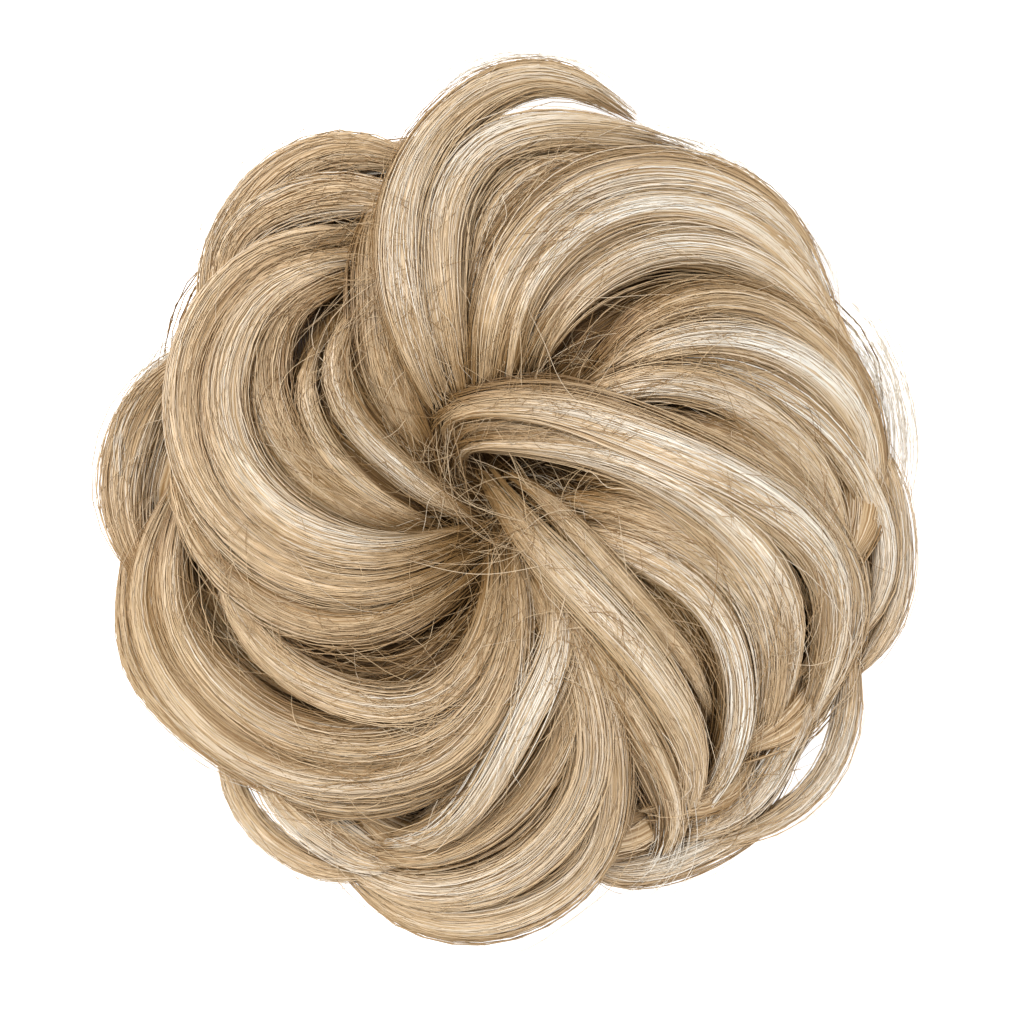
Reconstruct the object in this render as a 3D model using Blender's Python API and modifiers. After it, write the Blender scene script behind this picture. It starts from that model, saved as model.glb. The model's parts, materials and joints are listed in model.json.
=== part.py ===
"""Top knot hairpiece: locks of false hair swirled over an elastic band.

Metres, +Z up. The piece lies on its elastic, with the origin on the ground under the middle of its
outline. The wearer's own bun goes through the band into the hollow under the hair. Every lock runs
from the pit at the heart, over a dome of packed hair, and tucks in again near the rim.
"""

import math
from collections import namedtuple

import bmesh
import bpy
import numpy as np
from mathutils import Vector

MM = 0.001

# The elastic band, a flat woven ring.
BAND_INNER_R = 21.0 * MM
BAND_WIDTH = 5.0 * MM
BAND_HEIGHT = 4.0 * MM
BAND_EDGE = 0.8 * MM
BAND_STEPS = 48

# The seat of the band and the hollow above it, cut out of the hair.
SEAT_GAP = 0.35 * MM
SEAT_DEPTH = BAND_HEIGHT + SEAT_GAP
HOLLOW_R = 19.5 * MM
HOLLOW_TOP = 15.0 * MM
WALL_RISE = 3.0 * MM
Shoulder = namedtuple("Shoulder", "inset drop")
SHOULDERS = (Shoulder(6.0, 0.5), Shoulder(1.5, 3.5))
CUT_BELOW = 2.0 * MM
CUT_STEPS = 40

# How fine the fused hair is.
DOME_STEPS = 64
VOXEL = 1.3 * MM
KEPT_FACES = 0.07

# How the locks lie.
HEART = (-4.0 * MM, 2.0 * MM)
FLOOR_GAP = 0.7 * MM
SLOPE_FOLLOWED = 0.75
LOCK_SIDES = 10
LOCK_SECTIONS = 22
ROOT_SHARE = 0.5
TIP_SHARE = 0.45
GATHERED = 0.35
TUCKED = 0.2
LIFTED = 0.91
ROOT_TUCK = 3.0 * MM
TIP_TUCK = 4.0 * MM
SPLINE_STEPS = 400

# The under curls, which turn from the band out to the rim below the locks.
CURL_COUNT = 20
CURL_WIDTH = 13.0 * MM
CURL_THICK = 8.0 * MM
CURL_TURN = math.radians(50)
CURL_BEND = 1.5
CURL_SECTIONS = 10
CurlStation = namedtuple("CurlStation", "distance height")
CURL = (CurlStation(30, 5), CurlStation(42, 4.9), CurlStation(52, 7.5), CurlStation(59, 14), CurlStation(57, 22))

# The height of a lock's middle where it lies on the dome, by its distance from the heart.
Lie = namedtuple("Lie", "distance height")
LIE = (
    Lie(0, 24),
    Lie(10, 28.5),
    Lie(20, 35.5),
    Lie(30, 39),
    Lie(40, 37.5),
    Lie(50, 31),
    Lie(60, 21),
    Lie(70, 12.5),
    Lie(80, 9),
)

# The dome of packed hair, from the middle over the top and round the rim to the foot.
Outline = namedtuple("Outline", "distance height")
DOME = (
    Outline(0, 22),
    Outline(8, 24.5),
    Outline(16, 30),
    Outline(26, 35),
    Outline(36, 34.5),
    Outline(45, 28.5),
    Outline(53, 20),
    Outline(58, 12.5),
    Outline(57, 7.5),
    Outline(50, 4.5),
    Outline(42, 3),
    Outline(34, 1.2),
    Outline(0, 1.2),
)

# Each lock's width, thickness and extra height, and its way from the heart to its tip as seen from
# above, in millimetres.
Lock = namedtuple("Lock", "name width thick lift root rise swell crest fall tip")
LOCKS = (
    Lock("far_left_rim", 8.5, 9, 0, (-52, -18), (-60, -10), (-64.3, -1), (-63.6, 10.3), (-58.8, 19), (-50, 27)),
    Lock(
        "upper_left_rim", 7, 8, 1,
        (-49, 22), (-49.6, 35), (-45.4, 47.2), (-36.8, 55.8), (-27, 58.8), (-14, 56),
    ),
    Lock(
        "upper_left_inner", 7, 7, 2,
        (-48, 28), (-48.5, 38.5), (-44, 46), (-35, 50.5), (-26.5, 51.5), (-14, 49),
    ),
    Lock("right_rim_wisp", 2.6, 3, 2, (50, 39), (59.5, 31), (65, 22.5), (67.4, 13), (67.2, 4), (63.5, -5)),
    Lock("right_rim_inner", 3.5, 5, 1, (52, 14), (59, 5), (62.9, -3.5), (63.4, -13), (60, -20.5), (53, -28)),
    Lock("right_rim_outer", 3.8, 5, 0, (58.5, 14), (63.6, 5), (66, -6), (65.4, -17), (61.7, -25.3), (55, -32)),
    Lock(
        "lower_right_loop", 4.2, 6, 1,
        (55, -16), (57.2, -31), (55.4, -41.6), (50, -50), (40.8, -56), (28, -59),
    ),
    Lock(
        "lower_right_rim", 5, 5, -1,
        (46.5, -53.5), (40.5, -56.4), (32.6, -59.8), (24, -62.7), (15, -62.4), (8, -58),
    ),
    Lock(
        "bottom_left_loop", 3.4, 4, 0,
        (-48.2, -36), (-48, -45.5), (-44.5, -54), (-38, -60), (-29, -63.5), (-20, -63),
    ),
    Lock(
        "bottom_left_inner", 5, 6, 1,
        (-43, -38), (-41, -47), (-36.5, -54), (-31, -59), (-24, -61.5), (-15, -61),
    ),
    Lock("bottom_lobe", 7, 8, 1, (10, -18), (16, -40), (13.5, -59), (0, -70.4), (-17.6, -69.6), (-31, -58)),
    Lock("bottom_lobe_inner", 8, 8, 1.5, (8, -20), (13, -44), (6, -57), (-6, -65), (-19, -65.5), (-29, -57)),
    Lock("bottom_fan", 6.5, 7, 1, (7, -16), (10, -34), (3, -48), (-6, -56), (-18, -60), (-29, -58)),
    Lock("bottom_strand", 4.5, 5, 2.5, (0, -4), (1.5, -16), (0.5, -29), (-4, -42), (-10.5, -51), (-19, -56)),
    Lock("bottom_bright", 5.5, 6, 4.5, (5, -8), (8, -23), (3, -35), (-4, -47), (-14, -56.5), (-27, -58)),
    Lock("bottom_right_lock", 6, 6, 2, (5, -8), (11, -20), (17, -31), (23.5, -43), (27, -55), (23, -64.5)),
    Lock("lower_left_rim", 6.5, 8, 0, (2, -31), (-13, -46.5), (-31, -49), (-49, -41.3), (-63, -27), (-65, -7)),
    Lock("lower_left_outer", 8, 8, 2, (1, -22), (-10, -41.5), (-30, -46), (-51, -37), (-61.5, -18), (-59, 2)),
    Lock("lower_left_inner", 8, 8, 1.5, (0, -19), (-9.5, -37), (-27, -41), (-45, -34), (-57, -18), (-59, 1)),
    Lock(
        "lower_left_cross", 5.5, 6, 2.5,
        (-3, -18), (-13, -33.5), (-27, -33.5), (-39, -27), (-48.5, -15), (-55, -1),
    ),
    Lock("left_under", 6, 7, 1, (-3, -10), (-13, -17.5), (-28, -21.5), (-44, -15), (-54.5, -1), (-57, 13)),
    Lock(
        "left_sweep_outer", 7.5, 8, 3,
        (-3, -8), (-26, -14.5), (-47.5, -2.5), (-54.3, 18), (-43.8, 39.5), (-21, 45.5),
    ),
    Lock(
        "left_sweep_inner", 8.5, 8, 4,
        (-4, -5), (-23, -9.5), (-42, -0.5), (-48.5, 18), (-40, 35.5), (-21, 41.5),
    ),
    Lock(
        "left_curl_outer", 6.5, 6, 0.5,
        (-10, -2), (-28, 0.5), (-40.5, 14), (-40.5, 28), (-31.5, 36.5), (-19, 37.5),
    ),
    Lock("left_curl_middle", 7.5, 6, -3, (-5, -1), (-17, 1), (-27, 6.5), (-34, 14.5), (-34.5, 25), (-25, 34)),
    Lock("left_curl_inner", 5, 6, 1.5, (-5, 0), (-14, 4), (-23, 10.5), (-27.5, 19), (-28.5, 29), (-23, 41)),
    Lock("left_riser", 7, 6, -1.5, (-9, 4), (-16, 11), (-20.5, 22), (-22, 34), (-22, 45), (-18, 56)),
    Lock("crown_lock", 8.5, 8, 2.5, (-8, 14), (-12, 36), (-11, 49), (-5, 58.8), (12, 63), (31, 59.2)),
    Lock("crown_inner", 7, 7, 0, (-5, 16), (-5, 36), (-2.5, 47), (3, 53), (12, 55.5), (24, 54)),
    Lock("upright_lock", 7.4, 8, 5, (-11, 13), (-18, 32), (-17.6, 52), (-8.4, 66.8), (5, 72.2), (21, 65.5)),
    Lock("arch_one", 9, 8, 4, (-5, 14), (-1.5, 37), (11, 50.8), (28, 54.8), (45.4, 48.2), (56, 31)),
    Lock("arch_two", 5.5, 6, 4.5, (-1, 14), (3, 36), (14, 46.5), (30, 49), (46, 41), (57, 23)),
    Lock("arch_three", 8, 7, 0.5, (2, 14), (12, 34), (25, 42), (38, 41), (50, 33), (60, 17)),
    Lock("arch_four", 7, 7, 2.5, (5, 13), (19, 29.5), (36, 33.5), (51, 28), (61, 13), (63.8, -5)),
    Lock("arch_five", 5.5, 6, 4, (5, 12), (20, 25), (36, 27), (51, 22.5), (61, 11), (63, -4)),
    Lock("arch_low", 6, 6, 0, (12, 20), (28, 22.5), (44, 18), (55, 9), (61, -2), (61, -14)),
    Lock("arch_six", 6, 7, 2.5, (4, 11), (20, 19.5), (33, 18.5), (44, 12), (53, 1), (57, -12)),
    Lock("right_fan_low", 5.5, 6, 1.5, (6, -4), (20, -8.5), (32.5, -17), (38, -31), (35.5, -46), (27, -59)),
    Lock("right_fan", 6, 6, 1, (4, 1), (17, -1.5), (31, -8), (40.5, -18), (44, -32), (40, -46)),
    Lock("right_fan_high", 6.5, 7, 2, (5, 6), (18, 5), (30, -2), (40, -14), (44, -28), (41, -45)),
    Lock("right_outer_fan", 7, 7, 1, (20, 14), (36, 9), (49, -3), (56.5, -15), (57, -26), (52, -37)),
    Lock("crossing_inner", 7, 7, 5, (-10, 6), (0, 10.5), (20, 8), (37, -2.5), (46.5, -20), (42.5, -42)),
    Lock("crossing_lock", 8.4, 8, 6.5, (-9.2, 5), (-12.4, 12), (-4.5, 18), (24, 11.3), (51.5, -11), (53, -38)),
    Lock("diagonal_strand", 3, 4, 4, (-1, 5), (6, 0), (14, -8.5), (22.5, -18.5), (30, -28), (34, -38)),
    Lock(
        "diagonal_lock", 6.2, 6.5, 5.5,
        (-2.5, 5), (4.5, -7.5), (16, -20), (26, -33), (30.5, -46), (26.5, -59),
    ),
)

HAIR_COLOUR = (0.58, 0.44, 0.28)
ELASTIC_COLOUR = (0.20, 0.14, 0.09)


def clear_scene():
    for obj in list(bpy.data.objects):
        bpy.data.objects.remove(obj)


def collection(name):
    made = bpy.data.collections.new(name)
    bpy.context.scene.collection.children.link(made)
    return made


def material(name, colour, roughness):
    made = bpy.data.materials.new(name)
    made.use_nodes = True
    shader = made.node_tree.nodes["Principled BSDF"]
    shader.inputs["Base Color"].default_value = (*colour, 1.0)
    shader.inputs["Roughness"].default_value = roughness
    shader.inputs["Metallic"].default_value = 0.0
    return made


def spline(stations, count):
    """Evenly spaced points on the natural cubic spline through the stations."""
    knots = np.array(stations, float)
    chords = np.linalg.norm(np.diff(knots, axis=0), axis=1)
    at = np.concatenate([[0], np.cumsum(chords)])
    last = len(knots) - 1
    system = np.zeros((last + 1, last + 1))
    rates = np.zeros_like(knots)
    system[0, 0] = system[last, last] = 1
    for i in range(1, last):
        before, after = chords[i - 1], chords[i]
        system[i, i - 1 : i + 2] = before, 2 * (before + after), after
        rates[i] = 6 * ((knots[i + 1] - knots[i]) / after - (knots[i] - knots[i - 1]) / before)
    bends = np.linalg.solve(system, rates)

    fine = np.linspace(0, at[-1], SPLINE_STEPS)
    piece = np.clip(np.searchsorted(at, fine) - 1, 0, last - 1)
    span = chords[piece][:, None]
    ahead = (at[piece + 1] - fine)[:, None]
    behind = (fine - at[piece])[:, None]
    line = (
        (bends[piece] * ahead**3 + bends[piece + 1] * behind**3) / (6 * span)
        + (knots[piece] / span - bends[piece] * span / 6) * ahead
        + (knots[piece + 1] / span - bends[piece + 1] * span / 6) * behind
    )
    walked = np.concatenate([[0], np.cumsum(np.linalg.norm(np.diff(line, axis=0), axis=1))])
    even = np.linspace(0, walked[-1], count)
    return np.stack([np.interp(even, walked, line[:, k]) for k in range(line.shape[1])], axis=1)


LIE_CURVE = spline(np.array(LIE, float) * MM, SPLINE_STEPS)


def lie_height(distance):
    return np.interp(distance, LIE_CURVE[:, 0], LIE_CURVE[:, 1])


def fullness(count):
    """A lock's share of its full width: gathered at the root, loose in the middle, fine at the tip."""
    along = np.linspace(0, 1, count)
    from_root = np.clip(along / GATHERED, 0, 1)
    to_tip = np.clip((1 - along) / GATHERED, 0, 1)
    gather = ROOT_SHARE + (1 - ROOT_SHARE) * np.sin(from_root * math.pi / 2)
    taper = TIP_SHARE + (1 - TIP_SHARE) * np.sin(to_tip * math.pi / 2)
    return gather * taper


def sections(line, half_width, half_thick):
    """The corners of every section of a lock, which leans with the slope of the dome under it."""
    ahead = np.gradient(line, axis=0)
    ahead /= np.linalg.norm(ahead, axis=1)[:, None]
    out = line[:, :2] - np.array(HEART)
    distance = np.maximum(np.linalg.norm(out, axis=1), MM)
    step = 2 * MM
    slope = (lie_height(distance + step) - lie_height(np.maximum(distance - step, 0))) / (2 * step)
    lean = (-SLOPE_FOLLOWED * slope / distance)[:, None] * out
    normal = np.concatenate([lean, np.ones((len(line), 1))], axis=1)
    across = np.cross(ahead, normal)
    across /= np.linalg.norm(across, axis=1)[:, None]
    over = np.cross(across, ahead)
    turn = np.arange(LOCK_SIDES) * 2 * math.pi / LOCK_SIDES
    return (
        line[:, None, :]
        + (half_width[:, None] * np.cos(turn))[:, :, None] * across[:, None, :]
        + (half_thick[:, None] * np.sin(turn))[:, :, None] * over[:, None, :]
    )


def lock_rings(lock):
    plan = spline([np.array(place) * MM for place in lock[4:]], LOCK_SECTIONS)
    share = fullness(LOCK_SECTIONS)
    half_width = lock.width * MM / 2 * share
    half_thick = lock.thick * MM / 2 * share
    along = np.linspace(0, 1, LOCK_SECTIONS)
    raised = lock.lift * MM * np.sqrt(np.sin(math.pi * np.clip(along / LIFTED, 0, 1)))
    root_tuck = ROOT_TUCK * np.clip(1 - along / TUCKED, 0, 1) ** 2
    tip_tuck = TIP_TUCK * np.clip(1 - (1 - along) / TUCKED, 0, 1) ** 2
    height = lie_height(np.linalg.norm(plan - np.array(HEART), axis=1)) + raised - root_tuck - tip_tuck
    height = np.maximum(height, FLOOR_GAP + half_thick)
    return sections(np.column_stack([plan, height]), half_width, half_thick)


def curl_rings(index):
    """One of the under curls, which turn the way that the swirl turns."""
    start = index * 2 * math.pi / CURL_COUNT
    rows = np.array(CURL, float) * MM
    angles = start - CURL_TURN * np.linspace(0, 1, len(CURL)) ** CURL_BEND
    stations = np.column_stack([rows[:, 0] * np.cos(angles), rows[:, 0] * np.sin(angles), rows[:, 1]])
    share = fullness(CURL_SECTIONS)
    return sections(spline(stations, CURL_SECTIONS), CURL_WIDTH / 2 * share, CURL_THICK / 2 * share)


def add_loft(shape, rings):
    """A closed solid through rings of corners, with flat ends."""
    loops = [[shape.verts.new(Vector(corner)) for corner in ring] for ring in rings]
    faces = [shape.faces.new(loops[0]), shape.faces.new(reversed(loops[-1]))]
    for start, end in zip(loops, loops[1:]):
        for i in range(len(start)):
            k = (i + 1) % len(start)
            faces.append(shape.faces.new((start[i], end[i], end[k], start[k])))
    bmesh.ops.recalc_face_normals(shape, faces=faces)


def turned(name, profile, steps, group):
    """A solid of revolution: the profile runs down its outer side and round the Z axis."""
    shape = bmesh.new()
    corners = [shape.verts.new((distance, 0, height)) for distance, height in profile]
    closed = profile[0][0] > 0
    for start, end in zip(corners, corners[1:] + corners[:1] if closed else corners[1:]):
        shape.edges.new((start, end))
    mesh = bpy.data.meshes.new(name)
    shape.to_mesh(mesh)
    shape.free()
    obj = bpy.data.objects.new(name, mesh)
    group.objects.link(obj)
    spin = obj.modifiers.new("turn", "SCREW")
    spin.axis = "Z"
    spin.steps = spin.render_steps = steps
    spin.use_merge_vertices = True
    spin.merge_threshold = 0.01 * MM
    spin.use_smooth_shade = True
    return obj


def worked_shape(obj):
    """A copy of the object's shape with its modifiers worked in and its faces turned outwards."""
    graph = bpy.context.evaluated_depsgraph_get()
    mesh = bpy.data.meshes.new_from_object(obj.evaluated_get(graph))
    shape = bmesh.new()
    shape.from_mesh(mesh)
    bpy.data.meshes.remove(mesh)
    bmesh.ops.recalc_face_normals(shape, faces=shape.faces)
    return shape


def settle(obj, shape):
    """Gives the object the worked shape in place of its modifiers."""
    obj.modifiers.clear()
    shape.to_mesh(obj.data)
    shape.free()
    obj.data.shade_smooth()


def keep_largest_body(shape):
    """Removes the small hollows that the locks close off between them."""
    unseen = set(shape.verts)
    bodies = []
    while unseen:
        newest = [unseen.pop()]
        body = list(newest)
        while newest:
            joined = {edge.other_vert(vert) for vert in newest for edge in vert.link_edges}
            newest = list(joined & unseen)
            unseen -= joined
            body += newest
        bodies.append(body)
    largest = max(bodies, key=len)
    spare = [vert for body in bodies if body is not largest for vert in body]
    bmesh.ops.delete(shape, geom=spare, context="VERTS")


def centre_outline(shape):
    """Moves the shape so that the origin is under the middle of its outline."""
    places = np.array([vert.co for vert in shape.verts])
    middle = (places.min(axis=0) + places.max(axis=0)) / 2
    bmesh.ops.translate(shape, verts=shape.verts, vec=(-middle[0], -middle[1], 0))


def make_band(group):
    """The elastic band: a flat ring with eased edges, whose underside is the resting face."""
    inner, outer = BAND_INNER_R, BAND_INNER_R + BAND_WIDTH
    low, high = BAND_EDGE, BAND_HEIGHT - BAND_EDGE
    profile = [
        (inner + BAND_EDGE, BAND_HEIGHT),
        (outer - BAND_EDGE, BAND_HEIGHT),
        (outer, high),
        (outer, low),
        (outer - BAND_EDGE, 0),
        (inner + BAND_EDGE, 0),
        (inner, low),
        (inner, high),
    ]
    band = turned("elastic_band", profile, BAND_STEPS, group)
    settle(band, worked_shape(band))
    band.data.materials.append(material("woven_elastic", ELASTIC_COLOUR, 0.8))


def make_cutter(cutters):
    """The hollow for the wearer's bun, with the band's seat round its mouth."""
    seat_r = BAND_INNER_R + BAND_WIDTH + SEAT_GAP
    profile = [
        (0, HOLLOW_TOP),
        *[(HOLLOW_R - row.inset * MM, HOLLOW_TOP - row.drop * MM) for row in SHOULDERS],
        (HOLLOW_R, SEAT_DEPTH + WALL_RISE),
        (HOLLOW_R, SEAT_DEPTH),
        (seat_r, SEAT_DEPTH),
        (seat_r, -CUT_BELOW),
        (0, -CUT_BELOW),
    ]
    cutter = turned("hollow_cutter", profile, CUT_STEPS, cutters)
    settle(cutter, worked_shape(cutter))
    cutter.hide_render = True
    cutter.display_type = "WIRE"
    return cutter


def make_hair(group, cutters):
    """The dome, the locks and the under curls fused into one solid, and hollowed from below."""
    hair = turned("hair_locks", [(row.distance * MM, row.height * MM) for row in DOME], DOME_STEPS, group)
    shape = worked_shape(hair)
    for lock in LOCKS:
        add_loft(shape, lock_rings(lock))
    for index in range(CURL_COUNT):
        add_loft(shape, curl_rings(index))
    settle(hair, shape)
    fuse = hair.modifiers.new("fuse", "REMESH")
    fuse.mode = "VOXEL"
    fuse.voxel_size = VOXEL
    thin = hair.modifiers.new("thin", "DECIMATE")
    thin.ratio = KEPT_FACES
    shape = worked_shape(hair)
    keep_largest_body(shape)
    centre_outline(shape)
    settle(hair, shape)
    hollow = hair.modifiers.new("hollow", "BOOLEAN")
    hollow.operation = "DIFFERENCE"
    hollow.object = make_cutter(cutters)
    hair.data.materials.append(material("blonde_hair", HAIR_COLOUR, 0.4))


def main():
    clear_scene()
    group = collection("top_knot_hairpiece")
    cutters = collection("cutters")
    make_band(group)
    make_hair(group, cutters)


main()
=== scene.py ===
"""Dresses the top knot hairpiece: locks of fine strands over packed hair, and a woven elastic."""

import json
import math
from collections import namedtuple
from functools import partial

import bmesh
import bpy
import numpy as np
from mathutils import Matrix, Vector
from mathutils.bvhtree import BVHTree

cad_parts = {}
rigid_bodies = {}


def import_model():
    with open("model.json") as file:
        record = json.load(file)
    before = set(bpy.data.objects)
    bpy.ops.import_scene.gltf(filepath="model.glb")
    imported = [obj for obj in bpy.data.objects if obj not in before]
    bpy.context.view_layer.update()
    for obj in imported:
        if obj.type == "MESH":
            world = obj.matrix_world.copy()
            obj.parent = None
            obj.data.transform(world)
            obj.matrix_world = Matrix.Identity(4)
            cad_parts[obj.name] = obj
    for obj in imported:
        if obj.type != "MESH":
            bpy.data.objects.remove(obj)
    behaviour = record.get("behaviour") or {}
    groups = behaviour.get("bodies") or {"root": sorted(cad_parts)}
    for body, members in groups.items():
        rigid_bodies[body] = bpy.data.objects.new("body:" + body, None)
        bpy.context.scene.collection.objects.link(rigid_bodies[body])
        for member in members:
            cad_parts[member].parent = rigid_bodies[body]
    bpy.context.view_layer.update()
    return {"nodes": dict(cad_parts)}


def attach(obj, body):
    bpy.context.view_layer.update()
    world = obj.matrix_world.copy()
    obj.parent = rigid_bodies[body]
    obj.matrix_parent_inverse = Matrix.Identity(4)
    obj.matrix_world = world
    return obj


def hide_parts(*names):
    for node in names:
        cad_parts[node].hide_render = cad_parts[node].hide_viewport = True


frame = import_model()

bl_info = {
    "name": "Top knot hairpiece",
    "version": (1, 0, 0),
    "blender": (4, 5, 0),
    "location": "View3D > Sidebar > Hairpiece",
    "description": "Dresses the hairpiece in strands, lock by lock, and sets its stage",
    "category": "Object",
}

MM = 0.001

# Where the random draws start.
CURL_SEED = 71
LOCK_SEED = 100
LOOSE_SEED = 307

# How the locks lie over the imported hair. Shares are of a lock's length or width.
HEART = np.array((-4.0, 2.0)) * MM
FLOOR_GAP = 0.8 * MM
FLOOR_CLEARANCE = 1.1
SLOPE_FOLLOWED = 0.75
ROOT_SHARE = 0.5
TIP_SHARE = 0.3
GATHERED = 0.35
TUCKED = 0.2
ROOT_TUCK = 6.0 * MM
TIP_TUCK = 5.0 * MM
LIFT_END = 1.1
LED_FROM = 15.0 * MM
LED_TO = 26.0 * MM
HEART_PULL = 0.3
INNER_SPREAD = 1.02
COURSE_POINTS = 120
CURVE_POINTS = 600
LIE_POINTS = 400

# The grooves along a lock: how many, how deep, and how far they turn round it.
GROOVES = 5
GROOVE_DEPTH = 0.075
FINE_GROOVES = 11
FINE_GROOVE_DEPTH = 0.02
GROOVE_TURN = 0.6
GROOVE_TURN_VARIES = 0.5

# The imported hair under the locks.
BASE_STEPS = 96
BASE_R = 60
BASE_STREAKS = 6
BASE_SWIRL = 0.35
# The base is painted darker towards the middle: painted shade under the locks.
BASE_SHADED_TONE = 0.02
BASE_RIM_TONE = 0.3
DOME_POINTS = 40

# The under curls, which turn from the band out to the rim.
CURL_COUNT = 20
CURL_WIDTH = 13.0 * MM
CURL_THICK = 8.0 * MM
CURL_TURN = math.radians(50)
CURL_BEND = 1.5
CURL_LIGHT = -0.05
CURL_SPARSE = 0.17
CURL_STRAND_WIDTH = 1.5

# The body of each lock under its strands.
BODY_SIDES = 20
BODY_SECTIONS = 30
BODY_SHARE = 0.93
BODY_POINT = 0.16
BODY_TONE = 0.44
BODY_LIGHT = 0.7
# Painted light on the top of each body and painted shade under it.
BODY_PAINTED_LIGHT = 0.14
BODY_UV_SHIFT = 1.7

# The tones of the hair's colours, from 0 for the darkest to 1 for the palest.
ASH_TONE = 0.38
HONEY_TONE = 0.68
STREAKS = (28.0, 80.0, 1.0)
STREAK_TONE = 1.1

# Painted shade: how much darker the hair is round the heart and where a lock goes in, and how far
# that reaches.
HEART_SHADE_R = 15.0 * MM
HEART_SHADE = 0.24
ROOT_SHADE = 0.36
ROOT_SHADED = 0.26
TIP_SHADE = 0.12
TIP_SHADED = 0.12

# The strands of a lock: their clumps (in millimetres), how far they stray, and their light.
FEWEST = 12
START_SCATTER = 0.08
END_SCATTER = 0.22
CLUMP_WIDTH = 1.8
CLUMP_SPREAD = 0.6
CLUMP_RELIEF = 0.025
CLUMP_TONE = 0.085
DEPTH_SHARE = 0.05
# Painted shade on the deeper strands.
DEPTH_SHADE = 0.09
LOOSE_SHARE = 0.07
LOOSE_REACH = (0.08, 0.35)
FEATHER_SHARE = 0.4
FEATHER_REACH = (0, 0.6)
STRAND_TAPER = 0.2
STRAND_TIP = 0.3
STRAND_THICK = (0.7, 1.2)
STRAND_TONE = 0.62
STRAND_LIGHT = 0.4
# Painted highlights: the shine on a lock's crest and the gleam on each clump.
SHINE_LENGTH = 0.22
SHINE_BREADTH = 0.65
SHINE_GAIN = 0.6
GLEAM_LENGTH = 0.2
PALE_SHARE, PALE_GAIN = 0.06, 0.14
DARK_SHARE, DARK_LOSS = 0.05, 0.15
# Painted shade on the sides of a lock; the rim's negative value paints light there instead.
UNDER_SHADE = 0.3
INNER_SHADE = 0.2
RIM_SHADE = -0.08

# How far round a lock its strands lie, in half turns from its side.
ALL_ROUND = (-1.0, 1.0)
OVER_RIM = (-0.25, 1.25)
OVER_TOP = (-0.08, 1.08)

# Loose hairs: the points along each, the ranges of their tones and thicknesses, and how many.
Hairs = namedtuple("Hairs", "points tones widths")
STRAY = Hairs(12, (0.2, 0.75), (0.35, 0.6))
FRIZZ = Hairs(12, (0.3, 0.75), (0.4, 0.75))
OVER_HEART = Hairs(14, (0.35, 0.85), (0.35, 0.6))
WISP = Hairs(13, (0.88, 1.0), (0.4, 0.7))
STRAY_COUNT = 18
HEART_HAIRS = 70
WISP_COUNT = 40
VALLEY_COUNT = 52
VALLEY_POINTS = 12
# Valley hair is painted darker for the shade between the locks, darker still the lower it lies.
VALLEY_SHADED_TONE = 0.36
VALLEY_LOW_SHADE = 0.16

# How the fine hairs are laid over the locks.
RAY_TOP = 0.2
DEEPEST = 9.0 * MM
REST_ROUNDS = 24

# The weave of the elastic.
WEAVE_RIBS = 150.0
WEAVE_ROWS = 7000.0
WEAVE_COLOURS = [(0.1, (0.05, 0.03, 0.018)), (0.9, (0.24, 0.16, 0.095))]
BUMP_DISTANCE = 0.4 * MM

# The stage, in metres and watts.
Lamp = namedtuple("Lamp", "name place size watts")
LAMPS = (
    Lamp("key", (-0.5, 0.6, 2.1), 0.7, 45),
    Lamp("left", (-1.7, 0.4, 1.0), 1.1, 22),
    Lamp("right", (1.3, -1.2, 1.1), 1.1, 27),
)
WORLD_LIGHT = 0.49
WHITE = (1.0, 1.0, 1.0, 1.0)
FLOOR_SIZE = 3.0
FLOOR_DROP = 0.2 * MM
FLOOR_GLOW = 0.65
CAMERA_SHIFT = -2.04 * MM
FRAMED_HEIGHT = 20.0 * MM
FARTHEST = 10.0

# Distances from the heart or the middle, and heights over the floor, in millimetres: how the locks
# lie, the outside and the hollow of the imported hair, and the way of an under curl.
Row = namedtuple("Row", "distance height")
LIE = (
    Row(0, 24), Row(10, 28.5), Row(20, 35.5), Row(30, 39), Row(40, 37.5),
    Row(50, 31), Row(60, 21), Row(70, 12.5), Row(80, 9),
)
DOME = (
    Row(0, 18.5), Row(8, 21), Row(16, 28), Row(26, 35), Row(36, 34.5), Row(45, 28.5),
    Row(53, 20), Row(58, 12.5), Row(57, 7.5), Row(50, 4.5), Row(42, 3), Row(34, 1.2),
)
HOLLOW = (
    Row(26.35, 1.2), Row(26.35, 4.35), Row(19.5, 4.35), Row(19.5, 7.35),
    Row(18, 11.5), Row(13.5, 14.5), Row(0, 15),
)
CURL = (Row(30, 5), Row(42, 4.9), Row(52, 7.5), Row(59, 14), Row(57, 22))
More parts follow.
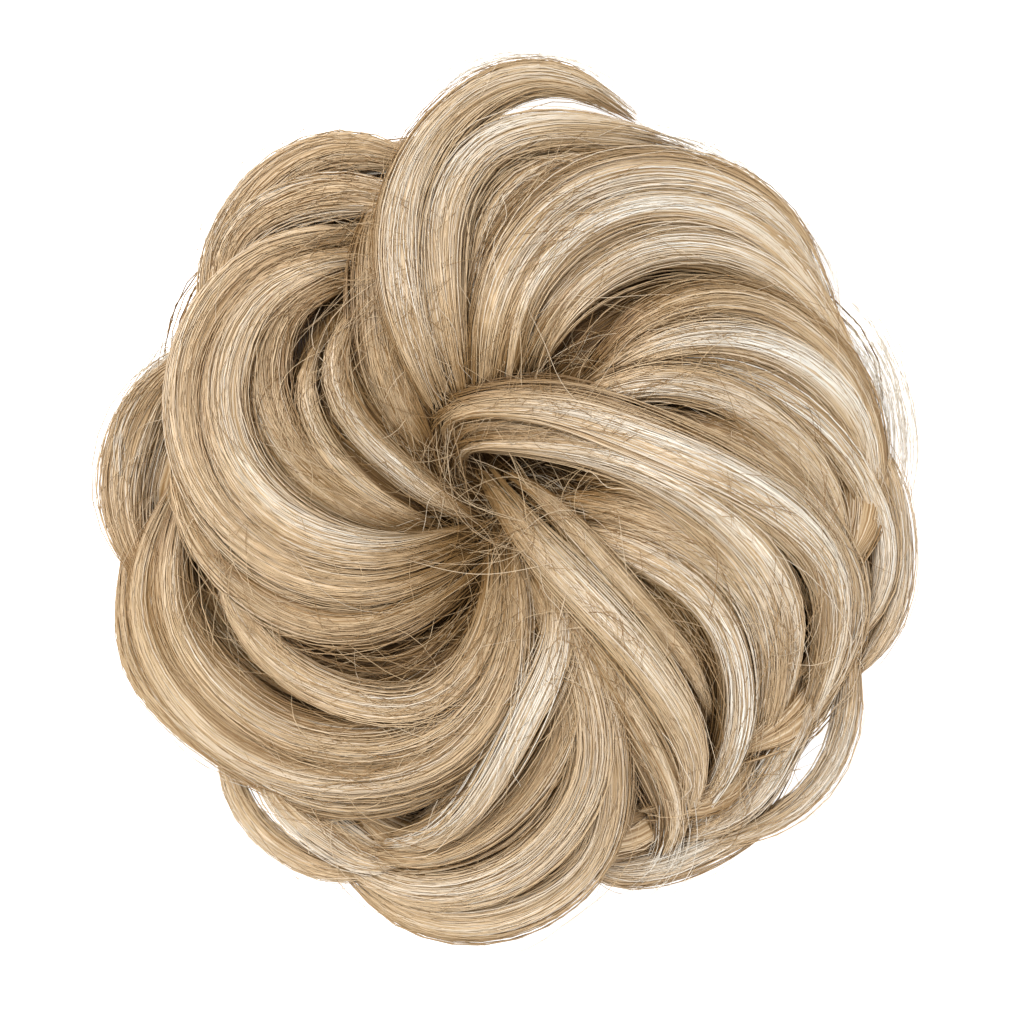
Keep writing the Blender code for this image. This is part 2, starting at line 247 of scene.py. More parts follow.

# Each lock's width, thickness and extra height, how light its hair is (partly its own lighter or
# darker hair, partly painted light and painted shade), and its way from the heart to its tip as
# seen from above, in millimetres.
Lock = namedtuple("Lock", "name width thick lift light root rise swell crest fall tip")
FIRST_STATION = Lock._fields.index("root")
RIM = (
    Lock("far_left_rim", 8.5, 9, -3.5, 0.03,
         (-59, -17), (-62.7, -8.5), (-65, 0), (-63.6, 10.3), (-58.8, 19), (-50, 27)),
    Lock("upper_left_rim", 7, 8, 1, 0,
         (-49, 22), (-49.6, 35), (-45.4, 47.2), (-36.8, 55.8), (-27, 58.8), (-14, 56)),
    Lock("upper_left_inner", 7, 7, 2, 0,
         (-48, 28), (-48.5, 38.5), (-44, 46), (-35, 50.5), (-26.5, 51.5), (-14, 49)),
    Lock("right_rim_inner", 3.5, 5, 1, 0.15,
         (52, 14), (59, 5), (62.9, -3.5), (63.4, -13), (60, -20.5), (53, -28)),
    Lock("right_rim_outer", 3.8, 5, 0, 0.18,
         (58.5, 14), (63.6, 5), (66, -6), (65.4, -17), (61.7, -25.3), (55, -32)),
    Lock("lower_right_loop", 3.6, 6, 1, 0.16,
         (55, -16), (57.3, -31), (55.9, -41.7), (50.5, -50.4), (41.1, -56.3), (28, -59.2)),
    Lock("lower_right_rim", 5, 5, -1, 0.18,
         (46.5, -53.5), (40.5, -56.4), (32.6, -59.8), (24, -62.7), (15, -62.4), (8, -58)),
    Lock("bottom_left_loop", 3.4, 4, 0, 0,
         (-48.2, -36), (-48, -45.5), (-44.5, -54), (-38, -60), (-29, -63.5), (-20, -63)),
    Lock("bottom_left_inner", 6, 6, 1, 0,
         (-43, -38), (-40.6, -46.6), (-36, -53.2), (-30.2, -57.7), (-24, -60.8), (-15, -61)),
)
WISPS = (
    Lock("upper_right_wisp", 6, 4, 1, 0.1,
         (15, 63.5), (28.6, 61), (39.6, 55.5), (48.5, 47.5), (54.5, 38.5), (56, 30)),
    Lock("right_outer_wisp", 4, 4, 2, 0.15,
         (54, 37), (60, 31.5), (65, 22.5), (67.3, 12), (67, 3), (64, -6)),
    Lock("right_inner_wisp", 4.5, 4, 1, 0.15,
         (53, 33), (58.5, 27), (62.8, 20), (64.8, 11.5), (64.8, 4), (62.5, -5)),
    Lock("left_wisp", 3, 4, 1, 0.1,
         (-65, 0), (-65.6, 9), (-63.2, 17), (-59.3, 23), (-54.5, 27), (-48, 28)),
    Lock("lower_left_wisp", 6, 4, 1, 0.1,
         (-63, -14), (-64, -26), (-59.5, -34.5), (-53.5, -41.5), (-46, -46.5), (-37, -48)),
    Lock("top_wisp", 4, 4, 0, 0.1,
         (-16, 62), (-9.5, 70.8), (0, 74), (9, 73.6), (17, 69.5), (24, 62)),
    Lock("bottom_wisp", 5, 4, 0, 0.1,
         (-25, -66), (-13, -71.5), (-2, -72.3), (7, -69.5), (13, -64), (16, -56)),
    Lock("bottom_right_wisp", 6, 4, 1, 0.1,
         (20, -34), (26, -46), (27, -56), (25, -63), (21, -67), (16, -69)),
)
BOTTOM = (
    Lock("bottom_lobe", 7, 8, 1, 0.1,
         (10, -18), (16, -40), (13.5, -59), (0, -70.3), (-18, -70), (-31.3, -59)),
    Lock("bottom_lobe_inner", 9, 8, 1.5, 0.05,
         (8, -20), (13, -44), (6, -57), (-6, -65), (-19, -65.5), (-33, -57)),
    Lock("bottom_fan", 6.5, 7, 1, -0.05,
         (7, -16), (10, -34), (3, -48), (-6, -56), (-18, -60), (-33, -56)),
    Lock("bottom_strand", 4.5, 5, 2.5, 0.05,
         (0, -4), (1.5, -16), (0.5, -29), (-4, -42), (-10.5, -51), (-19, -56)),
    Lock("bottom_bright", 5.5, 6, 4.5, 0.22,
         (5, -8), (8, -23), (3, -35), (-4, -47), (-14, -56.5), (-27, -58)),
    Lock("bottom_right_lock", 6, 6, 2, -0.13,
         (5, -8), (11, -20), (17, -31), (23.5, -43), (27, -55), (23, -64.5)),
)
LOWER_LEFT = (
    Lock("lower_left_rim", 6.5, 8, 0, 0.07,
         (2, -31), (-13, -46.5), (-31, -49), (-48.4, -40.6), (-63, -27), (-65, -7)),
    Lock("lower_left_outer", 8, 8, 3, 0.06,
         (1, -22), (-10, -41.5), (-30, -46), (-51, -37), (-61.8, -18), (-55.5, 5)),
    Lock("lower_left_inner", 8, 8, 2, 0.0,
         (0, -19), (-9.5, -37), (-27, -41), (-45, -34), (-56.5, -18), (-55, 3)),
    Lock("lower_left_cross", 5.5, 6, 3, 0.03,
         (-3, -18), (-13, -33.5), (-27, -33.5), (-39, -27), (-47, -16.5), (-49.5, -5)),
)
LEFT = (
    Lock("left_under", 6, 7, 1, -0.05,
         (-3, -10), (-13, -17.5), (-28, -21.5), (-44, -15), (-54.5, -1), (-57, 13)),
    Lock("left_sweep_outer", 7.5, 8, 3, 0.06,
         (-3, -8), (-26, -14.5), (-47.5, -2.5), (-54.3, 18), (-43.8, 39.5), (-21, 45.5)),
    Lock("left_sweep_inner", 8.5, 8, 4, 0.09,
         (-4, -5), (-23, -9.5), (-42, -0.5), (-48.5, 18), (-40, 35.5), (-21, 41.5)),
    Lock("left_curl_outer", 8, 6, -1, -0.12,
         (-10, -7.5), (-25.5, -2), (-37.5, 8.5), (-41.5, 21), (-37, 33), (-25, 38)),
    Lock("left_curl_middle", 3, 5, 0.5, -0.05,
         (-12, -5), (-22, -0.5), (-28.7, 5), (-33, 11.5), (-34.6, 19.5), (-31.5, 28)),
    Lock("left_curl_inner", 4.2, 5, 1.5, 0.0,
         (-3, -5.5), (-14.5, 1.5), (-22.3, 8), (-27.5, 14.5), (-29.8, 22.5), (-26, 33)),
    Lock("left_riser", 7, 6, -1.5, -0.08,
         (-13.5, 6.5), (-17.5, 13), (-21.5, 22), (-23, 34), (-22.5, 45), (-18, 56)),
)
CROWN = (
    Lock("crown_lock", 8.5, 8, 2.5, 0.14,
         (-8, 14), (-12, 36), (-11, 49), (-5, 57.8), (12, 61.8), (31, 59.5)),
    Lock("crown_inner", 7, 7, 0, 0.03,
         (-5, 16), (-5, 36), (-2.5, 47), (3, 53), (12, 55.5), (24, 54)),
    Lock("upright_lock", 7.4, 8, 5, 0.13,
         (-11, 13), (-18, 32), (-17.2, 51.6), (-7.6, 65.9), (5.2, 71.6), (21, 65)),
)
ARCHES = (
    Lock("arch_one", 9, 8, 4, 0.08,
         (-5, 14), (-1.5, 37), (11, 50.6), (28, 53.8), (44.2, 47), (55, 30.5)),
    Lock("arch_two", 5.5, 6, 4.5, 0.22,
         (-1, 14), (3, 36), (14, 46.5), (30, 49), (46, 41), (57, 23)),
    Lock("arch_three", 8, 7, 0.5, 0.1,
         (0, 17), (9, 34.5), (22.5, 42), (37, 41.3), (50, 33), (60, 17)),
    Lock("arch_four", 7, 7, 2.5, 0.03,
         (12.5, 20), (21, 28.8), (36, 33), (49.6, 27), (59.6, 12.8), (62.3, -5)),
    Lock("arch_five", 5.5, 6, 4, 0.2,
         (13, 19.5), (22, 25), (36, 27), (49.6, 22), (59, 11), (61, -4)),
    Lock("arch_low", 6, 6, 0, -0.04,
         (12, 20), (28, 22.5), (44, 18), (55, 9), (61, -2), (61, -14)),
    Lock("arch_six", 6, 7, 2.5, 0.14,
         (4, 11), (20, 19.5), (33, 18.5), (44, 12), (53, 1), (57, -12)),
)
FAN = (
    Lock("right_fan_low", 5.5, 6, 1.5, 0.09,
         (6, -4), (20, -8.5), (32.5, -17), (38, -31), (35.5, -46), (27, -59)),
    Lock("right_fan", 6, 6, 1, 0.04,
         (6.5, 0), (17, -1.7), (31, -8), (40.5, -18), (44, -32), (40, -46)),
    Lock("right_fan_high", 6.5, 7, 2, 0.07,
         (12, 2.5), (20, 3.3), (30, -2), (40, -14), (44, -28), (41, -45)),
    Lock("right_outer_fan", 7, 7, 1, 0.13,
         (20, 14), (37, 9), (50.5, -4), (56.5, -17), (53.2, -30), (44, -44)),
    Lock("window_edge", 6, 6, -0.5, 0.2,
         (50, -26), (49, -34), (45.6, -42), (42.6, -48.3), (37, -54), (26, -57.5)),
)
CROSSING = (
    Lock("crossing_inner", 6.4, 7, 5, 0.1,
         (-9.5, 4.5), (-9.3, 8.8), (-2, 10.8), (28, 3), (46, -19), (42, -43)),
    Lock("hook_filling", 5.4, 6, 2.5, -0.04,
         (-10.5, 7), (-9.5, 12), (-3, 14), (12, 11.3), (30, 4), (44, -10)),
    Lock("crossing_lock", 7.6, 8, 6.5, 0.14,
         (-11, 8.5), (-12, 14), (-4, 17.1), (22, 10.6), (53, -13), (46.5, -46)),
    Lock("diagonal_strand", 3, 4, 4, 0.05,
         (-1, 5), (6, 0), (14, -8.5), (22.5, -18.5), (30, -28), (34, -38)),
    Lock("diagonal_lock", 6.2, 6.5, 5.5, 0.17,
         (-5, 5.5), (4, -7.3), (16, -20), (26, -33), (30.5, -46), (26.5, -59)),
)
# How far along some locks the painted highlight lies, where the light falls most, as a share of
# their length.
SHINE = {
    "upright_lock": 0.2,
    "crown_lock": 0.55,
    "arch_one": 0.38,
    "arch_two": 0.5,
    "arch_five": 0.48,
    "arch_six": 0.35,
    "crossing_lock": 0.42,
    "left_sweep_outer": 0.68,
    "left_sweep_inner": 0.25,
    "diagonal_lock": 0.42,
    "right_fan_low": 0.62,
    "bottom_bright": 0.4,
    "bottom_lobe": 0.7,
    "bottom_lobe_inner": 0.72,
    "bottom_right_lock": 0.85,
    "lower_left_outer": 0.5,
    "lower_left_inner": 0.3,
}
# Locks with a valley between each and the next.
VALLEYS = (
    ("upper_left_rim", "upper_left_inner"),
    ("bottom_lobe", "bottom_lobe_inner", "bottom_fan", "bottom_strand"),
    ("bottom_bright", "bottom_fan"),
    ("bottom_bright", "bottom_right_lock"),
    ("bottom_lobe", "bottom_right_lock"),
    ("lower_left_rim", "lower_left_outer", "lower_left_inner", "lower_left_cross", "left_under",
     "left_sweep_outer", "left_sweep_inner", "left_curl_outer", "left_curl_middle",
     "left_curl_inner", "left_riser", "upright_lock"),
    ("crown_lock", "crown_inner", "arch_one", "arch_two", "arch_three", "arch_four", "arch_five",
     "arch_low", "arch_six", "right_outer_fan"),
    ("right_fan_high", "right_outer_fan"),
    ("right_fan_high", "right_fan", "right_fan_low"),
    ("crossing_lock", "hook_filling", "crossing_inner", "right_fan_high"),
    ("diagonal_strand", "diagonal_lock"),
    ("right_fan_low", "diagonal_lock"),
)
LOCK_GROUPS = {
    "rim_loops": RIM,
    "bottom_locks": BOTTOM,
    "lower_left_locks": LOWER_LEFT,
    "left_sweep": LEFT,
    "crown_locks": CROWN,
    "right_arches": ARCHES,
    "right_fan_locks": FAN,
    "crossing_locks": CROSSING,
}

# Where fine hairs cross from lock to lock: place and radius in millimetres, and their number.
Patch = namedtuple("Patch", "x y radius count")
PATCHES = (
    Patch(-11, 4, 9, 60),
    Patch(-2, -8, 12, 80),
    Patch(-15, -26, 13, 90),
    Patch(-34, 12, 9, 60),
    Patch(-32, 28, 10, 70),
    Patch(-20, 26, 11, 80),
    Patch(9, 26, 10, 80),
    Patch(8, 4, 8, 60),
    Patch(24, -14, 12, 90),
    Patch(12, -28, 11, 70),
    Patch(-50, -14, 8, 60),
    Patch(-44, -24, 8, 50),
    Patch(-28, -44, 12, 50),
    Patch(5, 50, 11, 60),
    Patch(30, 24, 13, 70),
    Patch(46, 2, 11, 70),
    Patch(38, -44, 11, 60),
    Patch(-24, -54, 10, 40),
    Patch(-26, 50, 10, 40),
    Patch(50, -22, 9, 50),
)


def length_setting(name, description, default):
    return bpy.props.FloatProperty(
        name=name, description=description, default=default, unit="LENGTH"
    )


def colour_setting(name, description, default):
    return bpy.props.FloatVectorProperty(
        name=name, description=description, default=default, subtype="COLOR"
    )


class HairSettings(bpy.types.PropertyGroup):
    """How fine and how light the hair is."""

    strand_width: length_setting("Strand width", "Width of one strand", 0.00021)
    strand_density: bpy.props.FloatProperty(
        name="Strand density", description="Strands for each millimetre round a lock", default=9.0
    )
    strand_step: length_setting("Strand step", "Way along a strand from point to point", 0.0055)
    # The painted shade reaches the darkest colour, and the painted highlights reach most of the
    # palest.
    shadow_colour: colour_setting("Deep hair", "Darkest strands", (0.062, 0.026, 0.005))
    ash_colour: colour_setting("Ash hair", "Ash brown strands", (0.275, 0.156, 0.056))
    honey_colour: colour_setting("Honey hair", "Honey blonde strands", (0.575, 0.424, 0.255))
    pale_colour: colour_setting("Pale hair", "Palest strands", (0.785, 0.742, 0.66))


class StageSettings(bpy.types.PropertyGroup):
    """The floor and the camera."""

    camera_height: length_setting("Camera height", "How far the camera is above the floor", 2.0)
    frame_width: length_setting("Frame width", "Width that the camera takes in", 0.17408)
    floor_colour: colour_setting("Floor", "Colour of the floor", (0.93, 0.93, 0.93))


class Value:
    """A number socket whose arithmetic is written as Math nodes."""

    def __init__(self, nodes, socket):
        self.nodes = nodes
        self.socket = socket

    def math(self, operation, *terms):
        node = self.nodes.add("ShaderNodeMath", {"operation": operation}, dict(enumerate(terms)))
        return Value(self.nodes, node.outputs[0])

    def sine(self):
        return self.math("SINE", self)

    def __add__(self, other):
        return self.math("ADD", self, other)

    def __sub__(self, other):
        return self.math("SUBTRACT", self, other)

    def __mul__(self, other):
        return self.math("MULTIPLY", self, other)

    def __rmul__(self, other):
        return self.math("MULTIPLY", other, self)


class Nodes:
    """A node tree that is filled one node at a time."""

    def __init__(self, tree):
        self.tree = tree
        tree.nodes.clear()

    def add(self, kind, settings=None, inputs=None):
        node = self.tree.nodes.new(kind)
        for name, value in (settings or {}).items():
            if name == "stops":
                self.set_stops(node.color_ramp, value)
            else:
                setattr(node, name, value)
        for name, value in (inputs or {}).items():
            socket = node.inputs[name]
            if isinstance(value, Value):
                self.tree.links.new(value.socket, socket)
            elif isinstance(value, bpy.types.NodeSocket):
                self.tree.links.new(value, socket)
            else:
                socket.default_value = value
        return node

    def value(self, kind, settings=None, inputs=None, output=0):
        return Value(self, self.add(kind, settings, inputs).outputs[output])

    def surface(self, inputs):
        shader = self.add("ShaderNodeBsdfPrincipled", inputs=inputs)
        self.add("ShaderNodeOutputMaterial", inputs={"Surface": shader.outputs[0]})

    @staticmethod
    def set_stops(ramp, stops):
        while len(ramp.elements) < len(stops):
            ramp.elements.new(1.0)
        for element, (place, colour) in zip(ramp.elements, stops):
            element.position = place
            element.color = (*colour, 1.0)


def hair_ramp(hair):
    return [
        (0.0, hair.shadow_colour),
        (ASH_TONE, hair.ash_colour),
        (HONEY_TONE, hair.honey_colour),
        (1.0, hair.pale_colour),
    ]


def new_material(name):
    """The nodes of a new material, still empty."""
    material = bpy.data.materials.new(name)
    material.use_nodes = True
    return Nodes(material.node_tree)


def strand_material(hair):
    """Glossy fibre whose colour follows each strand's tone, its own colour with painted light and
    painted shade in it.
    """
    nodes = new_material("hair_strand")
    tone = nodes.value("ShaderNodeAttribute", {"attribute_name": "tone"}, output="Fac")
    colour = nodes.add("ShaderNodeValToRGB", {"stops": hair_ramp(hair)}, {"Fac": tone})
    nodes.surface({
        "Base Color": colour.outputs["Color"],
        "Roughness": 0.45,
        "IOR": 1.5,
        "Specular IOR Level": 0.5,
    })


def body_material(hair):
    """Packed hair, streaked along the lock, whose tone holds painted light and painted shade."""
    nodes = new_material("packed_hair")
    places = nodes.add("ShaderNodeUVMap", {"uv_map": "UVMap"}).outputs[0]
    streaks = nodes.add("ShaderNodeMapping", inputs={"Vector": places, "Scale": STREAKS})
    fine = nodes.value(
        "ShaderNodeTexNoise",
        {"noise_dimensions": "2D"},
        {"Vector": streaks.outputs[0], "Scale": 1.0, "Detail": 4.0},
    )
    tone = nodes.value("ShaderNodeAttribute", {"attribute_name": "tone"}, output="Fac")
    tone = tone + STREAK_TONE * (fine - 0.5)
    colour = nodes.add("ShaderNodeValToRGB", {"stops": hair_ramp(hair)}, {"Fac": tone})
    bump = nodes.add(
        "ShaderNodeBump", inputs={"Height": fine, "Distance": BUMP_DISTANCE, "Strength": 0.8}
    )
    nodes.surface({
        "Base Color": colour.outputs["Color"],
        "Roughness": 0.4,
        "Specular IOR Level": 0.35,
        "Normal": bump.outputs["Normal"],
    })


def elastic_material():
    """Ribbed woven elastic, dark brown."""
    nodes = new_material("woven_elastic")
    place = nodes.add("ShaderNodeTexCoord").outputs["Object"]
    parts = nodes.add("ShaderNodeSeparateXYZ", inputs={"Vector": place})
    x, y, z = (Value(nodes, parts.outputs[name]) for name in "XYZ")
    ribs = (y.math("ARCTAN2", y, x) * WEAVE_RIBS).sine()
    rows = (z * WEAVE_ROWS).sine()
    weave = ribs * rows * 0.5 + 0.5
    threads = nodes.value(
        "ShaderNodeTexNoise", inputs={"Vector": place, "Scale": 900.0, "Detail": 3.0}
    )
    cloth = weave * 0.7 + threads * 0.3
    colour = nodes.add("ShaderNodeValToRGB", {"stops": WEAVE_COLOURS}, {"Fac": cloth})
    bump = nodes.add(
        "ShaderNodeBump", inputs={"Height": cloth, "Distance": BUMP_DISTANCE, "Strength": 0.9}
    )
    nodes.surface({
        "Base Color": colour.outputs["Color"],
        "Roughness": 0.75,
        "Normal": bump.outputs["Normal"],
    })


def curve_through(stations, count):
    """Evenly spaced points on the natural cubic spline through the stations."""
    knots = np.array(stations, float)
    chords = np.linalg.norm(np.diff(knots, axis=0), axis=1)
    at = np.concatenate([[0], np.cumsum(chords)])
    last = len(knots) - 1
    system = np.zeros((last + 1, last + 1))
    rates = np.zeros_like(knots)
    system[0, 0] = system[last, last] = 1
    for i in range(1, last):
        before, after = chords[i - 1], chords[i]
        system[i, i - 1 : i + 2] = before, 2 * (before + after), after
        rates[i] = 6 * ((knots[i + 1] - knots[i]) / after - (knots[i] - knots[i - 1]) / before)
    bends = np.linalg.solve(system, rates)

    fine = np.linspace(0, at[-1], CURVE_POINTS)
    piece = np.clip(np.searchsorted(at, fine) - 1, 0, last - 1)
    span = chords[piece][:, None]
    ahead = (at[piece + 1] - fine)[:, None]
    behind = (fine - at[piece])[:, None]
    line = (
        (bends[piece] * ahead**3 + bends[piece + 1] * behind**3) / (6 * span)
        + (knots[piece] / span - bends[piece] * span / 6) * ahead
        + (knots[piece + 1] / span - bends[piece + 1] * span / 6) * behind
    )
    walked = walked_along(line)
    even = np.linspace(0, walked[-1], count)
    return np.stack([np.interp(even, walked, line[:, k]) for k in range(line.shape[1])], axis=1)


def walked_along(line):
    """How far it is along a line to each of its points."""
    return np.concatenate([[0], np.cumsum(np.linalg.norm(np.diff(line, axis=0), axis=1))])


LIE_CURVE = curve_through(np.array(LIE, float) * MM, LIE_POINTS)


def lie_height(distance):
    """How high the middle of a lock lies at a distance from the heart."""
    return np.interp(distance, LIE_CURVE[:, 0], LIE_CURVE[:, 1])


def fullness(along):
    """A lock's share of its full width: gathered at its root, fine at its tip, loose between."""
    root = np.clip(along / GATHERED, 0, 1) * math.pi / 2
    tip = np.clip((along - (1 - GATHERED)) / GATHERED, 0, 1) * math.pi / 2
    gather = ROOT_SHARE + (1 - ROOT_SHARE) * np.sin(root)
    return gather * (TIP_SHARE + (1 - TIP_SHARE) * np.cos(tip))


class Course:
    """A lock's way, with the directions across and over it and its half width and thickness."""

    def __init__(self, line, half_width, half_thick, twist):
        ahead = np.gradient(line, axis=0)
        ahead /= np.linalg.norm(ahead, axis=1)[:, None]
        out = line[:, :2] - HEART
        distance = np.maximum(np.linalg.norm(out, axis=1), MM)
        step = 2 * MM
        rise = lie_height(distance + step) - lie_height(np.maximum(distance - step, 0))
        slope = rise / (2 * step)
        lean = (-SLOPE_FOLLOWED * slope / distance)[:, None] * out
        normal = np.concatenate([lean, np.ones((len(line), 1))], axis=1)
        across = np.cross(ahead, normal)
        across /= np.linalg.norm(across, axis=1)[:, None]
        self.line = line
        self.across = across
        self.over = np.cross(across, ahead)
        self.half_width = half_width
        self.half_thick = half_thick
        self.twist = twist
        self.share = np.linspace(0, 1, len(line))
        self.length = np.linalg.norm(np.diff(line, axis=0), axis=1).sum()

    def read(self, values, along):
        if values.ndim == 1:
            return np.interp(along, self.share, values)
        return np.stack([np.interp(along, self.share, values[:, k]) for k in range(3)], axis=-1)

    def place(self, along, side, up):
        """Points beside and above the middle line, in shares of the half width and thickness."""
        beside = self.read(self.half_width, along) * side
        above = self.read(self.half_thick, along) * up
        return (
            self.read(self.line, along)
            + beside[..., None] * self.read(self.across, along)
            + above[..., None] * self.read(self.over, along)
        )

    def grooves(self, along, angle):
        """How far the skin of the lock stands out between its grooves, near 1."""
        turn = angle + (GROOVE_TURN + GROOVE_TURN_VARIES * math.sin(self.twist)) * along
        broad = GROOVE_DEPTH * np.sin(GROOVES * turn + self.twist)
        fine = FINE_GROOVE_DEPTH * np.sin(FINE_GROOVES * turn + 2.3 * self.twist)
        return 1 + broad + fine

    def skin(self, along, angle, reach):
        """Points at an angle round the lock, at a share of its reach there."""
        reach = reach * self.grooves(along, angle)
        return self.place(along, reach * np.cos(angle), reach * np.sin(angle))


def lock_course(lock, spread=1.0):
    """The course of a lock from its row. One that starts just below the heart is led from it."""
    stations = [np.array(place) * MM for place in lock[FIRST_STATION:]]
    root = stations[0]
    if HEART[1] - root[1] > LED_FROM and np.linalg.norm(root - HEART) < LED_TO:
        stations.insert(0, HEART + HEART_PULL * (root - HEART))
    plan = curve_through(stations, COURSE_POINTS)
    along = np.linspace(0, 1, COURSE_POINTS)
    share = fullness(along)
    half_width = lock.width * spread * MM / 2 * share
    half_thick = lock.thick * MM / 2 * share
    raised = lock.lift * MM * np.sin(math.pi * np.clip(along * LIFT_END, 0, 1)) ** 0.5
    near_root = np.clip(1 - along / TUCKED, 0, 1)
    near_tip = np.clip(along / TUCKED - (1 / TUCKED - 1), 0, 1)
    tucked = ROOT_TUCK * near_root**2 + TIP_TUCK * near_tip**2
    height = lie_height(np.linalg.norm(plan - HEART, axis=1)) + raised - tucked
    height = np.maximum(height, FLOOR_GAP + FLOOR_CLEARANCE * half_thick)
    twist = lock.width + 3 * lock.tip[0]
    return Course(np.column_stack([plan, height]), half_width, half_thick, twist)


def curl_course(index):
    """The course of an under curl, from the band out to the rim."""
    start = index * 2 * math.pi / CURL_COUNT
    out, up = (np.array(CURL, float) * MM).T
    angles = start - CURL_TURN * np.linspace(0, 1, len(CURL)) ** CURL_BEND
    stations = np.column_stack([out * np.cos(angles), out * np.sin(angles), up])
    share = fullness(np.linspace(0, 1, COURSE_POINTS))
    line = curve_through(stations, COURSE_POINTS)
    return Course(line, CURL_WIDTH / 2 * share, CURL_THICK / 2 * share, float(index))


def linked(name, data):
    obj = bpy.data.objects.new(name, data)
    bpy.context.scene.collection.objects.link(obj)
    return obj


def body_mesh(name, courses, lights):
    """The bodies of the locks in one mesh, with their length and girth as UV, and their tone with
    painted light and painted shade.
    """
    corners, faces, places, tones = [], [], [], []
    along = np.linspace(0, 1, BODY_SECTIONS)
    turn = np.linspace(0, 1, BODY_SIDES + 1)
    angle = turn[:-1] * 2 * math.pi - math.pi / 2
    point = np.clip(np.minimum(along, 1 - along) / BODY_POINT, 0.02, 1) ** 0.6
    ring_along = along[:, None] * np.ones(BODY_SIDES)
    ring_angle = angle * np.ones((BODY_SECTIONS, 1))
    for index, (course, light) in enumerate(zip(courses, lights)):
        first = len(corners)
        rings = course.skin(ring_along, ring_angle, BODY_SHARE * point[:, None])
        corners += rings.reshape(-1, 3).tolist()
        # Painted light on the top and painted shade underneath, with the lock's light and painted
        # shade at its ends.
        tone = BODY_TONE + BODY_LIGHT * light + BODY_PAINTED_LIGHT * np.sin(angle)
        tones += (tone - end_shade(ring_along)).ravel().tolist()
        shifted = turn + index * BODY_UV_SHIFT
        for i in range(BODY_SECTIONS - 1):
            here, there = first + i * BODY_SIDES, first + (i + 1) * BODY_SIDES
            near, far = along[i] * course.length, along[i + 1] * course.length
            for k in range(BODY_SIDES):
                after = (k + 1) % BODY_SIDES
                faces.append((here + k, there + k, there + after, here + after))
                side, other = shifted[k], shifted[k + 1]
                places += [(near, side), (far, side), (far, other), (near, other)]
        last = first + (BODY_SECTIONS - 1) * BODY_SIDES
        faces.append(tuple(first + k for k in range(BODY_SIDES)))
        faces.append(tuple(last + k for k in reversed(range(BODY_SIDES))))
        places += [(end, share) for end in (0.0, course.length) for share in turn[:-1]]
    return shaped(name, corners, faces, places, tones)


def shaped(name, corners, faces, places, tones):
    """Packed hair from corners and their tones, faces, and the UV place of each face corner."""
    mesh = bpy.data.meshes.new(name)
    mesh.from_pydata(corners, [], faces)
    layer = mesh.uv_layers.new(name="UVMap")
    layer.data.foreach_set("uv", np.array(places, float).ravel())
    mesh.attributes.new("tone", "FLOAT", "POINT").data.foreach_set("value", tones)
    shape = bmesh.new()
    shape.from_mesh(mesh)
    bmesh.ops.recalc_face_normals(shape, faces=shape.faces)
    shape.to_mesh(mesh)
    shape.free()
    mesh.shade_smooth()
    mesh.materials.append(bpy.data.materials["packed_hair"])
    return linked(name, mesh)


def strand_tree():
    """Geometry nodes that give every drawn line its strand of fibre."""
    tree = bpy.data.node_groups.new("hair_strands", "GeometryNodeTree")
    for name, way, kind in (
        ("Geometry", "INPUT", "Geometry"),
        ("Strand width", "INPUT", "Float"),
        ("Sides", "INPUT", "Int"),
        ("Material", "INPUT", "Material"),
        ("Geometry", "OUTPUT", "Geometry"),
    ):
        tree.interface.new_socket(name, in_out=way, socket_type=f"NodeSocket{kind}")
    nodes = Nodes(tree)
    given = nodes.add("NodeGroupInput").outputs
    lines = nodes.add("GeometryNodeMeshToCurve", inputs={"Mesh": given["Geometry"]})
    share = nodes.add(
        "GeometryNodeInputNamedAttribute", {"data_type": "FLOAT"}, {"Name": "thickness"}
    )
    half = Value(nodes, share.outputs["Attribute"]) * given["Strand width"] * 0.5
    ring = nodes.add(
        "GeometryNodeCurvePrimitiveCircle", inputs={"Resolution": given["Sides"], "Radius": 1.0}
    )
    tubes = nodes.add(
        "GeometryNodeCurveToMesh",
        inputs={
            "Curve": lines.outputs[0],
            "Profile Curve": ring.outputs[0],
            "Scale": half,
            "Fill Caps": True,
        },
    )
    smooth = nodes.add("GeometryNodeSetShadeSmooth", inputs={"Geometry": tubes.outputs[0]})
    real = nodes.add("GeometryNodeRealizeInstances", inputs={"Geometry": smooth.outputs[0]})
    painted = nodes.add(
        "GeometryNodeSetMaterial",
        inputs={"Geometry": real.outputs[0], "Material": given["Material"]},
    )
    nodes.add("NodeGroupOutput", inputs={"Geometry": painted.outputs[0]})
    return tree


def set_inputs(modifier, values):
    for item in modifier.node_group.interface.items_tree:
        if item.item_type == "SOCKET" and item.in_out == "INPUT" and item.name in values:
            modifier[item.identifier] = values[item.name]


